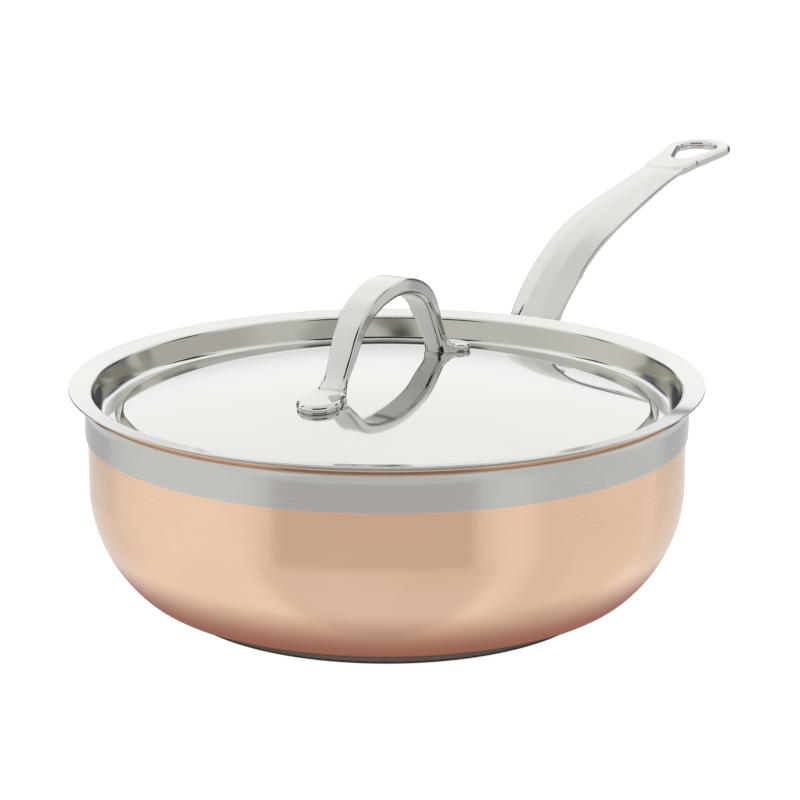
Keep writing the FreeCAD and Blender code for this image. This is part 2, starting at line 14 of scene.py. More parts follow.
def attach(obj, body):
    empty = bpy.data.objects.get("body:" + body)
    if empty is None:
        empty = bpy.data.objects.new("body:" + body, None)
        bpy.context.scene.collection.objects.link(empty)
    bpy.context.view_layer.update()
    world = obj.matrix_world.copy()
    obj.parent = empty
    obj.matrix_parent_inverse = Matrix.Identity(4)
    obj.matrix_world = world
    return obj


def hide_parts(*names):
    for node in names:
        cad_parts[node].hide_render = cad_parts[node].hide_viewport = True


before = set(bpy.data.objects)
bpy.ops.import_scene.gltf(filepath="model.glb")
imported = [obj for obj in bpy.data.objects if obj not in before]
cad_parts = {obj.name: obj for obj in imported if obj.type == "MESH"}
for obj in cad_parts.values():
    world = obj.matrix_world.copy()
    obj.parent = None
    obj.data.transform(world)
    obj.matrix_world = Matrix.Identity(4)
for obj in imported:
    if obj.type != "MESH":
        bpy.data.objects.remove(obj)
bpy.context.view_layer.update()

MM = 0.001
TURN_STEPS = 288

# ---------------------------------------------------------------- dimensions, in millimetres

WALL_RADIUS = 134.0
BASE_THICKNESS = 5.4
BASE_RADIUS = 97.0
LOWER_CORNER = 22.0
UPPER_CORNER = 60.0
CORNER_SPLIT = math.radians(43.0)
FLARE_START = 90.2
FLARE_RADIUS = 9.0
FLARE_ANGLE = 47.0
COPPER, CORE, LINER = 0.7, 1.0, 0.4
LINER_FACE = WALL_RADIUS - COPPER - CORE - LINER
BAND_FOOT = 78.6
BAND_THICKNESS = 1.1
BAND_FLARE = 32.0
LID_SHEET = 0.9
LID_RADIUS = 142.5
FLANGE_SLOPE = 10.0
DOME_TOP = 105.5
DOME_RADIUS = 460.0
DOME_EDGE = 117.5
STEP_RADIUS = 2.0
STEP_FALL = math.radians(50.0)
GUTTER_HEIGHT = 86.6
GUTTER_RADIUS = 3.5
GUTTER_CENTRE = 125.79
FLANGE_CORNER = 2.2
FLANGE_START = (133.2, 98.9)


# ---------------------------------------------------------------- turned pieces

def unit(angle):
    return np.array([math.cos(angle), math.sin(angle)])


def left_of(direction):
    return np.array([-direction[1], direction[0]])


def rolled_line(start, circles, last_heading, last_run=0.0):
    """Smooth line that leaves a point and rolls round circles, each (x, y, radius), to a last heading.

    A positive radius turns left and a negative one right. Returns points and headings.
    """
    chain = [(start[0], start[1], 0.0)] + list(circles)
    headings = []
    for (x0, y0, r0), (x1, y1, r1) in zip(chain, chain[1:]):
        gap = math.hypot(x1 - x0, y1 - y0)
        run = math.sqrt(max(gap ** 2 - (r1 - r0) ** 2, 0.0))
        headings.append(math.atan2(y1 - y0, x1 - x0) - math.atan2(r1 - r0, run))
    headings.append(math.radians(last_heading))
    points = [np.array(start, float)]
    turns = [headings[0]]
    for (x, y, radius), enter, leave in zip(circles, headings, headings[1:]):
        turn = (leave - enter + math.pi) % math.tau - math.pi
        coarse = max(abs(turn) / math.radians(5), abs(turn * radius) / 3.0)
        count = max(2, math.ceil(coarse))
        for step in range(count + 1):
            heading = enter + turn * step / count
            point = np.array([x, y]) - left_of(unit(heading)) * radius
            if np.linalg.norm(point - points[-1]) > 1e-4:
                points.append(point)
                turns.append(heading)
    if last_run:
        points.append(points[-1] + unit(turns[-1]) * last_run)
        turns.append(turns[-1])
    return points, turns


def rounded_end(point, heading, near, far, edge):
    """Points and normals round the cut end of a sheet that lies between two offsets from its line."""
    ahead = unit(heading)
    side = left_of(ahead)
    inward = math.copysign(1.0, far - near)
    result = []
    for offset, first, last in ((near + inward * edge, -90.0, 0.0), (far - inward * edge, 0.0, 90.0)):
        for step in range(5):
            angle = math.radians(first + (last - first) * step / 4)
            normal = ahead * math.cos(angle) + side * inward * math.sin(angle)
            result.append((point + side * offset + normal * edge, normal))
    return result


def sheet_outline(line, near, far, edge, open_start=False):
    """Outline of a sheet between two offsets, positive to the left, of a line.

    Its last end is rounded, and so is its first end where that is open, away from the axis.
    """
    points, turns = line
    inward = math.copysign(1.0, far - near)
    outline = []
    for point, heading in zip(points, turns):
        side = left_of(unit(heading))
        outline.append((point + side * near, -side * inward))
    outline += rounded_end(points[-1], turns[-1], near, far, edge)
    for point, heading in zip(reversed(points), reversed(turns)):
        side = left_of(unit(heading))
        outline.append((point + side * far, side * inward))
    if open_start:
        outline += rounded_end(points[0], turns[0] + math.pi, -far, -near, edge)
    return outline


def solid_outline(line):
    """Outline of a solid whose line runs counterclockwise from the axis and back to it."""
    return [(point, -left_of(unit(heading))) for point, heading in zip(*line)]


def turned_mesh(name, outline, closed):
    """Revolve an outline of points and normals about the Z axis."""
    points = [outline[0]]
    for entry in outline[1:]:
        if np.linalg.norm(entry[0] - points[-1][0]) > 1e-5:
            points.append(entry)
    around = sum(a[0][0] * b[0][1] - a[0][1] * b[0][0] for a, b in zip(points, points[1:] + points[:1]))
    if around < 0:
        points.reverse()
    angles = [math.tau * step / TURN_STEPS for step in range(TURN_STEPS)]
    verts, normals, rings = [], [], []
    for (r, z), (nr, nz) in points:
        on_axis = r < 1e-6
        ring = []
        for angle in angles[:1] if on_axis else angles:
            ring.append(len(verts))
            c, s = math.cos(angle), math.sin(angle)
            verts.append((r * c * MM, r * s * MM, z * MM))
            normals.append((0, 0, math.copysign(1, nz)) if on_axis else (nr * c, nr * s, nz))
        rings.append(ring * TURN_STEPS if on_axis else ring)
    faces = []
    pairs = list(zip(rings, rings[1:] + rings[:1])) if closed else list(zip(rings, rings[1:]))
    for low, high in pairs:
        for step in range(TURN_STEPS):
            after = (step + 1) % TURN_STEPS
            face = [low[step], low[after], high[after], high[step]]
            face = list(dict.fromkeys(face))
            if len(face) > 2:
                faces.append(face)
    mesh = bpy.data.meshes.new(name)
    mesh.from_pydata(verts, [], faces)
    mesh.polygons.foreach_set("use_smooth", [True] * len(mesh.polygons))
    mesh.normals_split_custom_set_from_vertices(normals)
    return mesh


def add_piece(name, mesh, body, node, material):
    piece = bpy.data.objects.new(name, mesh)
    bpy.context.scene.collection.objects.link(piece)
    mesh.materials.append(material)
    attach(piece, body)
    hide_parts(node)


def wall_line():
    """Copper's outer face, from the axis under the pan to the lip."""
    between = UPPER_CORNER - LOWER_CORNER
    upper_x = WALL_RADIUS - UPPER_CORNER
    upper_y = BASE_THICKNESS + LOWER_CORNER + between * math.cos(CORNER_SPLIT)
    lower_x = upper_x + between * math.sin(CORNER_SPLIT)
    return rolled_line((0, BASE_THICKNESS), [
        (lower_x, BASE_THICKNESS + LOWER_CORNER, LOWER_CORNER),
        (upper_x, upper_y, UPPER_CORNER),
        (WALL_RADIUS + FLARE_RADIUS, FLARE_START, -FLARE_RADIUS),
    ], 90 - FLARE_ANGLE)


def band_line():
    return rolled_line((WALL_RADIUS, BAND_FOOT + 0.3), [
        (WALL_RADIUS + FLARE_RADIUS, FLARE_START, -FLARE_RADIUS),
    ], 90 - BAND_FLARE)


def base_line():
    edge = 1.5
    lip = 0.3
    return rolled_line((0, 0), [
        (BASE_RADIUS - edge, edge, edge),
        (BASE_RADIUS - lip, BASE_THICKNESS - lip, lip),
    ], 180, BASE_RADIUS - lip)


def lid_line():
    """Lid's upper face, from the middle of the dome down its step, over the gutter and out to the rim."""
    edge_angle = math.asin(DOME_EDGE / DOME_RADIUS)
    edge_height = DOME_TOP - DOME_RADIUS * (1 - math.cos(edge_angle))
    brow_x = DOME_EDGE - STEP_RADIUS * math.sin(edge_angle)
    brow_y = edge_height - STEP_RADIUS * math.cos(edge_angle)
    drop = brow_y + 2 * STEP_RADIUS * math.cos(STEP_FALL) - GUTTER_HEIGHT - STEP_RADIUS
    foot_x = brow_x + 2 * STEP_RADIUS * math.sin(STEP_FALL) + drop / math.tan(STEP_FALL)
    slope = math.radians(FLANGE_SLOPE)
    corner_x = FLANGE_START[0] + FLANGE_CORNER * math.sin(slope)
    corner_y = FLANGE_START[1] - FLANGE_CORNER * math.cos(slope)
    flange = LID_RADIUS - corner_x - LID_SHEET / 2
    return rolled_line((0, DOME_TOP), [
        (0, DOME_TOP - DOME_RADIUS, -DOME_RADIUS),
        (brow_x, brow_y, -STEP_RADIUS),
        (foot_x, GUTTER_HEIGHT + STEP_RADIUS, STEP_RADIUS),
        (GUTTER_CENTRE, GUTTER_HEIGHT + GUTTER_RADIUS, GUTTER_RADIUS),
        (corner_x, corner_y, -FLANGE_CORNER),
    ], FLANGE_SLOPE, flange / math.cos(slope))


# ---------------------------------------------------------------- cast pieces, as distance functions

def natural_spline(keys, values, wanted):
    """Natural cubic spline through values at keys, read at the wanted places."""
    keys, values = np.asarray(keys, float), np.asarray(values, float)
    gaps = np.diff(keys)
    count = len(keys)
    system = np.zeros((count, count))
    right = np.zeros((count, values.shape[1]))
    system[0, 0] = system[-1, -1] = 1.0
    for row in range(1, count - 1):
        system[row, row - 1:row + 2] = gaps[row - 1], 2 * (gaps[row - 1] + gaps[row]), gaps[row]
        slopes = (values[row + 1] - values[row]) / gaps[row], (values[row] - values[row - 1]) / gaps[row - 1]
        right[row] = 6 * (slopes[0] - slopes[1])
    bend = np.linalg.solve(system, right)
    cell = np.clip(np.searchsorted(keys, wanted, side="right") - 1, 0, count - 2)
    gap = gaps[cell][:, None]
    before = (np.asarray(wanted) - keys[cell])[:, None]
    after = gap - before
    return ((bend[cell] * after ** 3 + bend[cell + 1] * before ** 3) / (6 * gap)
            + (values[cell] / gap - bend[cell] * gap / 6) * after
            + (values[cell + 1] / gap - bend[cell + 1] * gap / 6) * before)


class Rail:
    """Curve in the XZ plane with section terms along it."""

    def __init__(self, stations, steps=500):
        stations = np.asarray(stations, float)
        keys = np.concatenate([[0], np.cumsum(np.linalg.norm(np.diff(stations[:, :2], axis=0), axis=1))])
        wanted = np.linspace(0, keys[-1], steps)
        table = natural_spline(keys, stations, wanted)
        self.line = table[:, :2]
        self.terms = table[:, 2:]
        ahead = np.gradient(self.line, axis=0)
        self.pace = np.linalg.norm(ahead, axis=1)
        self.ahead = ahead / self.pace[:, None]
        self.side = np.stack([-self.ahead[:, 1], self.ahead[:, 0]], axis=1)
        self.found = None

    def nearest_steps(self, place):
        """Nearest sample of the curve to each place. A repeated call looks only beside its last answer."""
        if self.found is not None and len(self.found) == len(place):
            tried = np.clip(self.found[:, None] + np.arange(-5, 6), 0, len(self.line) - 1)
            apart = ((place[:, None, :] - self.line[tried]) ** 2).sum(axis=2)
            self.found = tried[np.arange(len(place)), apart.argmin(axis=1)]
            return self.found
        self.found = np.empty(len(place), int)
        for first in range(0, len(place), 2000):
            part = slice(first, first + 2000)
            apart = ((place[part, None, :] - self.line) ** 2).sum(axis=2)
            self.found[part] = apart.argmin(axis=1)
        return self.found

    def locate(self, x, z):
        """Distance past the ends, offset to the left of the curve and the section terms, at each point."""
        place = np.stack([x, z], axis=1)
        nearest = self.nearest_steps(place)
        offset = place - self.line[nearest]
        along = (offset * self.ahead[nearest]).sum(axis=1)
        exact = nearest + along / self.pace[nearest]
        last = len(self.line) - 1
        held = np.clip(exact, 0, last - 1e-6)
        low = held.astype(int)
        share = (held - low)[:, None]
        line = self.line[low] * (1 - share) + self.line[low + 1] * share
        side = self.side[low] * (1 - share) + self.side[low + 1] * share
        terms = self.terms[low] * (1 - share) + self.terms[low + 1] * share
        height = ((place - line) * side).sum(axis=1)
        beyond = np.where(exact < 0, -exact, np.where(exact > last, exact - last, 0.0)) * self.pace[nearest]
        return beyond, height, terms


def blend_union(one, other, reach):
    """Union of two distance fields with a fillet about as large as its reach."""
    share = np.clip(0.5 + 0.5 * (other - one) / reach, 0, 1)
    return other + (one - other) * share - reach * share * (1 - share)


def slab(flat, thick, edge):
    """Distance of a plate from its outline's distance and its distance through the thickness."""
    flat = flat + edge
    thick = thick + edge
    outside = np.hypot(np.maximum(flat, 0), np.maximum(thick, 0))
    return outside + np.minimum(np.maximum(flat, thick), 0) - edge


def round_meet(one, other, edge):
    """Intersection of two fields whose common edge is rounded to about the edge radius."""
    near = np.hypot(np.maximum(one + edge, 0), np.maximum(other + edge, 0)) - edge
    return np.where(np.minimum(one, other) > -edge, near, np.maximum(one, other))


def convex_section(across, height, corners, edges):
    """Distance of a convex section given by its right-hand corners, top one first, and their roundings."""
    across = np.abs(across)
    middle = np.zeros_like(across)
    ends = [(middle, corners[0][1]), *corners, (middle, corners[-1][1])]
    planes = []
    for (x0, y0), (x1, y1) in zip(ends, ends[1:]):
        run_x, run_y = x1 - x0, y1 - y0
        length = np.maximum(np.hypot(run_x, run_y), 1e-6)
        planes.append((across - x0) * (-run_y / length) + (height - y0) * (run_x / length))
    total = planes[0]
    for plane, edge in zip(planes[1:], edges):
        total = round_meet(total, plane, edge)
    return total


def uneven_capsule(along, across, first, first_radius, last, last_radius):
    """Distance of the hull of two circles on a middle line."""
    across = np.abs(across)
    along = along - first
    length = last - first
    sine = (first_radius - last_radius) / length
    cosine = math.sqrt(1 - sine * sine)
    lean = across * -sine + along * cosine
    near = np.hypot(across, along) - first_radius
    far = np.hypot(across, along - length) - last_radius
    flank = across * cosine + along * sine - first_radius
    return np.where(lean < 0, near, np.where(lean > cosine * length, far, flank))


def settle(mesh, distance, rounds):
    """Move every vertex of a mesh on to the zero surface of a distance function, keeping it even."""
    count = len(mesh.vertices)
    co = np.empty(count * 3)
    mesh.vertices.foreach_get("co", co)
    co = co.reshape(-1, 3) / MM
    ends = np.empty(len(mesh.edges) * 2, np.int32)
    mesh.edges.foreach_get("vertices", ends)
    ends = ends.reshape(-1, 2)
    degree = np.bincount(ends.ravel(), minlength=count)[:, None]

    def slope(points):
        step = 0.02
        rows = []
        for axis in range(3):
            shift = np.zeros(3)
            shift[axis] = step
            rows.append((distance(points + shift) - distance(points - shift)) / (2 * step))
        return np.stack(rows, axis=1)

    def pulled(points, reach):
        """Points moved down the slope to the surface, along each axis by no more than the reach."""
        grade = slope(points)
        steep = (grade ** 2).sum(axis=1, keepdims=True)
        move = distance(points)[:, None] * grade / np.maximum(steep, 0.2)
        return points - np.clip(move, -reach, reach)

    for turn in range(rounds):
        if turn:
            total = np.zeros_like(co)
            np.add.at(total, ends[:, 0], co[ends[:, 1]])
            np.add.at(total, ends[:, 1], co[ends[:, 0]])
            co = co + (total / degree - co) * 0.5
        co = pulled(co, 1.5)
    for _ in range(2):
        co = pulled(co, math.inf)
    grade = slope(co)
    normals = grade / np.linalg.norm(grade, axis=1, keepdims=True)
    mesh.vertices.foreach_set("co", (co * MM).ravel())
    mesh.polygons.foreach_set("use_smooth", [True] * len(mesh.polygons))
    mesh.update()
    mesh.normals_split_custom_set_from_vertices(normals.tolist())


def voxel_copy(name, node, plugs, voxel):
    """Even quad skin of a CAD node with its rivet holes plugged.

    A plug is its centre, direction, radius and length.
    """
    bm = bmesh.new()
    bm.from_mesh(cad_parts[node].data)
    for centre, direction, radius, length in plugs:
        turn = Vector((0, 0, 1)).rotation_difference(Vector(direction)).to_matrix().to_4x4()
        bmesh.ops.create_cone(bm, cap_ends=True, segments=24, radius1=radius * MM, radius2=radius * MM,
                              depth=length * MM, matrix=Matrix.Translation(Vector(centre) * MM) @ turn)
    rough = bpy.data.meshes.new(name + "_rough")
    bm.to_mesh(rough)
    bm.free()
    maker = bpy.data.objects.new(name + "_maker", rough)
    bpy.context.scene.collection.objects.link(maker)
    remesh = maker.modifiers.new("skin", "REMESH")
    remesh.mode = "VOXEL"
    remesh.voxel_size = voxel * MM
    graph = bpy.context.evaluated_depsgraph_get()
    mesh = bpy.data.meshes.new_from_object(maker.evaluated_get(graph))
    mesh.name = name
    bpy.data.objects.remove(maker)
    bpy.data.meshes.remove(rough)
    return mesh


# Arm of the long handle: reach and height of the middle of its top face, half of its width, depth, half of
# the flat top facet's width and the fall of its bevels.
ARM_STATIONS = [
    (136.6, 52.0, 9.0, 4.0, 5.0, 1.2),
    (137.4, 64.0, 10.6, 5.0, 5.8, 1.3),
    (138.2, 76.0, 12.0, 8.0, 6.2, 1.8),
    (141.0, 89.0, 13.0, 10.0, 6.3, 2.3),
    (148.5, 102.0, 13.2, 10.2, 6.0, 2.7),
    (162.7, 114.1, 13.8, 9.8, 5.6, 3.0),
    (182.9, 126.0, 14.15, 9.4, 5.3, 3.2),
    (209.4, 136.0, 14.6, 9.2, 4.6, 3.2),
    (239.6, 142.1, 13.8, 8.8, 3.8, 3.0),
    (269.7, 146.4, 12.4, 7.8, 3.2, 2.5),
    (291.8, 148.8, 11.7, 6.4, 3.0, 1.8),
    (307.9, 150.0, 11.8, 5.4, 3.4, 1.2),
    (318.0, 150.8, 12.2, 5.0, 3.4, 1.0),
]
ARM_EDGES = (0.5, 1.0, 1.5, 1.5)

# Hanging ring: a plate from its start at a slope. The two circles of its outline and of its eye are each a
# distance along it and a radius.
TIP_START = (300.0, 149.4)
TIP_SLOPE = math.radians(4.5)
TIP_THICKNESS = 5.0
TIP_EDGE = 2.2
TIP_OUTLINE = (10.0, 11.6, 51.6, 17.2)
TIP_EYE = (27.4, 4.4, 49.4, 10.3)

# Root plate on the wall, which grows narrower below its taper's top.
PLATE_MIDDLE = 66.0
PLATE_HALF_HEIGHT = 20.0
PLATE_HALF_WIDTH = 23.0
PLATE_CORNER = 9.0
PLATE_EDGE = 1.6
PLATE_FACE = WALL_RADIUS + BAND_THICKNESS + 5.0
PLATE_TAPER_TOP = 70.0
PLATE_TAPER_LENGTH = 24.0
PLATE_TAPER_WIDTH = 9.0

LUG_PLACE = (186.5, 113.6)
LUG_RADIUS = 4.6
LUG_HALF_WIDTH = 4.0

# Handle rivets: name, turn about the pan's axis in degrees, and height.
HANDLE_RIVETS = [("right", -6.2, 73.5), ("left", 6.2, 73.5), ("low", 0.0, 60.0)]


def wall_face(z):
    """Radius of the wall's outer face, or of the band's above its foot, at each height."""
    return np.where(z > BAND_FOOT, WALL_RADIUS + BAND_THICKNESS, WALL_RADIUS)


def ring_distance(x, y, z):
    along = (x - TIP_START[0]) * math.cos(TIP_SLOPE) + (z - TIP_START[1]) * math.sin(TIP_SLOPE)
    rise = (z - TIP_START[1]) * math.cos(TIP_SLOPE) - (x - TIP_START[0]) * math.sin(TIP_SLOPE)
    outer = uneven_capsule(along, y, *TIP_OUTLINE)
    eye = uneven_capsule(along, y, *TIP_EYE)
    through = np.abs(rise + TIP_THICKNESS / 2) - TIP_THICKNESS / 2
    return slab(np.maximum(outer, -eye), through, TIP_EDGE)


def plate_distance(x, y, z):
    """Root plate, wrapped round the wall."""
    radius = np.hypot(x, y)
    arc = np.arctan2(y, x) * radius
    inner = wall_face(z)
    taper = np.clip((PLATE_TAPER_TOP - z) / PLATE_TAPER_LENGTH, 0, 1) ** 2
    half_width = PLATE_HALF_WIDTH - taper * PLATE_TAPER_WIDTH
    past_side = np.maximum(np.abs(arc) - half_width + PLATE_CORNER, 0)
    past_end = np.maximum(np.abs(z - PLATE_MIDDLE) - PLATE_HALF_HEIGHT + PLATE_CORNER, 0)
    flat = np.hypot(past_side, past_end) - PLATE_CORNER
    through = np.abs(radius - (inner + PLATE_FACE) / 2) - (PLATE_FACE - inner) / 2
    return slab(flat, through, PLATE_EDGE)


def lug_distance(x, y, z):
    past_side = np.maximum(np.abs(y) - LUG_HALF_WIDTH, 0)
    return np.sqrt((x - LUG_PLACE[0]) ** 2 / 1.5 + past_side ** 2 + (z - LUG_PLACE[1]) ** 2) - LUG_RADIUS


def handle_distance():
    """Distance function of the whole cast handle: arm, hanging ring, root plate and finger lug."""
    arm = Rail(ARM_STATIONS)

    def distance(points):
        x, y, z = points.T
        beyond, height, terms = arm.locate(x, z)
        half, depth, facet, fall = terms.T
        section = convex_section(y, height, [
            (facet, np.zeros_like(facet)),
            (half, -fall),
            (half * 0.97, -depth * 0.72),
            (half * 0.68, -depth),
        ], ARM_EDGES)
        swept = np.hypot(np.maximum(section, 0), beyond) + np.minimum(section, 0)
        whole = blend_union(swept, ring_distance(x, y, z), 3.0)
        whole = blend_union(whole, plate_distance(x, y, z), 9.0)
        whole = blend_union(whole, lug_distance(x, y, z), 4.0)
        return np.maximum(whole, wall_face(z) - np.hypot(x, y))

    return distance


def handle_plugs():
    reach = 137.2
    plugs = []
    for _, turn, height in HANDLE_RIVETS:
        angle = math.radians(turn)
        way = (math.cos(angle), math.sin(angle), 0)
        plugs.append(((way[0] * reach, way[1] * reach, height), way, 3.3, 4.4))
    return plugs


# Front half of the lid's loop, from its foot to its crown: reach and height of the middle of the strap, half
# of its width and half of its thickness. A foot's two circles are each a distance from the lid's axis and a
# radius.
LOOP_STATIONS = [
    (-47.6, 97.0, 5.1, 2.3),
    (-46.6, 106.0, 5.1, 2.4),
    (-42.5, 113.8, 5.5, 2.8),
    (-38.5, 120.3, 5.9, 3.2),
    (-34.8, 126.7, 6.2, 3.5),
    (-30.6, 131.9, 6.5, 3.7),
    (-25.2, 136.0, 6.8, 3.8),
    (-17.0, 139.8, 7.2, 3.8),
    (-8.2, 142.1, 7.6, 3.9),
    (0.0, 142.8, 7.7, 3.9),
]
LOOP_FOOT = (49.6, 5.2, 60.0, 10.0)
PIN_REACH = 60.0
PIN_OFFSET = 5.0


def loop_distance():
    """Distance function of the lid's loop: the strap and its two feet on the dome."""
    rear = [(-x, z, half, thick) for x, z, half, thick in LOOP_STATIONS[-2::-1]]
    strap = Rail(LOOP_STATIONS + rear)
    dome_centre = DOME_TOP - DOME_RADIUS

    def distance(points):
        x, y, z = points.T
        beyond, height, terms = strap.locate(x, z)
        half, thick = terms.T
        # the outer face is flat between tight edges, the inner one is crowned
        edge = 1.8 - 0.6 * np.clip(height / 1.2, -1, 1)
        body = slab(np.abs(y) - half, np.abs(height) - thick, edge)
        swept = np.hypot(np.maximum(body, 0), beyond) + np.minimum(body, 0)
        above = np.sqrt(x * x + y * y + (z - dome_centre) ** 2) - DOME_RADIUS
        foot = uneven_capsule(np.abs(x), y, *LOOP_FOOT)
        pad = slab(foot, np.abs(above - 1.6) - 2.2, 2.1)
        whole = blend_union(swept, pad, 2.5 + 5.0 * np.clip(0.5 + height / 5.0, 0, 1))
        return np.maximum(whole, -above)

    return distance


def loop_plugs():
    plugs = []
    for reach in (-PIN_REACH, PIN_REACH):
        for offset in (-PIN_OFFSET, PIN_OFFSET):
            plugs.append(((reach, offset, 102.2), (0, 0, 1), 2.6, 4.0))
    return plugs


# ---------------------------------------------------------------- rivets

def rivet_mesh(name, stem_radius, stem, head_radius, rise, end_rise):
    """Rivet along +Z: a low domed head below z = 0 and a stem up to a slightly crowned end."""
    crown = head_radius ** 2 / (2 * rise) * 1.25
    edge = 0.35
    chamfer = 0.3
    outline = solid_outline(rolled_line((0, -rise), [
        (0, -rise + crown, crown),
        (head_radius - edge, -edge, edge),
    ], 180, head_radius - stem_radius - edge))
    outline += [
        (np.array([stem_radius, 0.0]), np.array([1.0, 0.0])),
        (np.array([stem_radius, stem - chamfer]), np.array([1.0, 0.0])),
        (np.array([stem_radius - chamfer, stem]), np.array([0.7, 0.7])),
        (np.array([0.0, stem + end_rise]), np.array([0.0, 1.0])),
    ]
    return turned_mesh(name, outline, closed=False)


def add_handle_rivets(material):
    """Rivets through the wall, with their heads inside the pan and their ends level with the root plate."""
    seat = LINER_FACE - 0.25
    for side, turn, height in HANDLE_RIVETS:
        name = f"handle_rivet_{side}"
        mesh = rivet_mesh(name, 3.0, PLATE_FACE - seat, 5.5, 1.6, 0.35)
        angle = math.radians(turn)
        place = Vector((seat * math.cos(angle), seat * math.sin(angle), height)) * MM
        mesh.transform(Matrix.Translation(place) @ Matrix.Rotation(angle, 4, "Z")
                       @ Matrix.Rotation(math.pi / 2, 4, "Y"))
        add_piece(name, mesh, "pan", "handle_rivets", material)


def add_lid_rivets(material):
    """Rivets through the lid's panel, with their heads under it and their ends hidden in the loop's feet."""
    inner_radius = DOME_RADIUS - LID_SHEET
    foot = DOME_TOP - DOME_RADIUS + math.sqrt(inner_radius ** 2 - PIN_REACH ** 2)
    for end, reach in (("front", PIN_REACH), ("rear", -PIN_REACH)):
        for side, offset in (("right", -PIN_OFFSET), ("left", PIN_OFFSET)):
            name = f"lid_rivet_{end}_{side}"
            mesh = rivet_mesh(name, 2.2, 3.0, 4.2, 1.3, 0.0)
            mesh.transform(Matrix.Translation(Vector((reach, offset, foot)) * MM))
            add_piece(name, mesh, "lid", "lid_rivets", material)


# ---------------------------------------------------------------- materials

class Nodes:
    """Small helper that adds nodes to a tree and wires sockets or constants into them."""

    def __init__(self, tree):
        self.tree = tree
        tree.nodes.clear()

    def add(self, kind, *inputs, **settings):
        node = self.tree.nodes.new(kind)
        for name, value in settings.items():
            setattr(node, name, value)
        for index, value in enumerate(inputs):
            self.wire(node.inputs[index], value)
        return node

    def wire(self, socket, value):
        if isinstance(value, bpy.types.NodeSocket):
            self.tree.links.new(value, socket)
        elif value is not None:
            socket.default_value = value

    def math(self, operation, *inputs, clamp=False):
        return self.add("ShaderNodeMath", *inputs, operation=operation, use_clamp=clamp).outputs[0]

    def ramp(self, value, low, high, out_low=0.0, out_high=1.0):
        node = self.add("ShaderNodeMapRange", value, low, high, out_low, out_high,
                        interpolation_type="SMOOTHSTEP")
        return node.outputs[0]


def new_material(name):
    material = bpy.data.materials.new(name)
    material.use_nodes = True
    return material, Nodes(material.node_tree)


def place_in_row(n):
    """Position in the row frame, in metres."""
    return n.add("ShaderNodeTexCoord").outputs["Object"]


def axis_distance(n, place):
    """Distance of a position from the pan's axis."""
    x, y, z = n.add("ShaderNodeSeparateXYZ", place).outputs
    return n.math("SQRT", n.math("ADD", n.math("MULTIPLY", x, x), n.math("MULTIPLY", y, y)))


def noise(n, vector, scale, detail=2.0, rough=0.5):
    node = n.add("ShaderNodeTexNoise", noise_dimensions="3D")
    n.wire(node.inputs["Vector"], vector)
    node.inputs["Scale"].default_value = scale
    node.inputs["Detail"].default_value = detail
    node.inputs["Roughness"].default_value = rough
    return node.outputs[0]


def turned_place(n, place, fineness):
    """Position that changes fast across the axis and hardly round it, as a lathe's marks do."""
    height = n.add("ShaderNodeSeparateXYZ", place).outputs[2]
    joined = n.add("ShaderNodeCombineXYZ",
                   n.math("MULTIPLY", axis_distance(n, place), fineness),
                   n.math("MULTIPLY", height, fineness),
                   n.math("MULTIPLY", noise(n, place, 6.0), 1.5))
    return joined.outputs[0]


def colours_between(n, share, first, second):
    """Mix of two colours, each of them three numbers or a socket."""
    mix = n.add("ShaderNodeMix", share, data_type="RGBA")
    for socket, colour in ((mix.inputs[6], first), (mix.inputs[7], second)):
        n.wire(socket, (*colour, 1) if isinstance(colour, tuple) else colour)
    return mix.outputs[2]


def finish_metal(n, colour, roughness, height, height_scale, anisotropy=0.0):
    """Close a metal's tree. Anisotropy stretches its highlights along the lathe's marks, round the Z axis."""
    shader = n.add("ShaderNodeBsdfPrincipled")
    shader.inputs["Metallic"].default_value = 1.0
    n.wire(shader.inputs["Base Color"], colour)
    n.wire(shader.inputs["Roughness"], roughness)
    shader.inputs["Anisotropic"].default_value = anisotropy
    if anisotropy:
        shader.inputs["Anisotropic Rotation"].default_value = 0.25
        turn = n.add("ShaderNodeTangent", direction_type="RADIAL", axis="Z")
        n.wire(shader.inputs["Tangent"], turn.outputs[0])
    bump = n.add("ShaderNodeBump")
    bump.inputs["Strength"].default_value = 1.0
    bump.inputs["Distance"].default_value = height_scale
    n.wire(bump.inputs["Height"], height)
    n.wire(shader.inputs["Normal"], bump.outputs[0])
    output = n.add("ShaderNodeOutputMaterial")
    n.wire(output.inputs["Surface"], shader.outputs[0])


def turned_metal(name, light, dark, smooth, worn, marks, anisotropy):
    """Metal spun and polished on a lathe: faint rings, soft wipe marks and a little colour drift."""
    material, n = new_material(name)
    place = place_in_row(n)
    rings = noise(n, turned_place(n, place, 900.0), 1.0, 3.0, 0.6)
    clouds = noise(n, place, 14.0, 4.0, 0.55)
    specks = noise(n, place, 420.0)
    share = n.math("ADD", n.math("MULTIPLY", clouds, 0.7), n.math("MULTIPLY", rings, 0.3))
    colour = colours_between(n, n.ramp(share, 0.35, 0.65), light, dark)
    roughness = n.math("ADD", n.ramp(clouds, 0.35, 0.7, smooth, worn), n.math("MULTIPLY", specks, 0.02))
    finish_metal(n, colour, roughness, rings, marks, anisotropy)
    return material


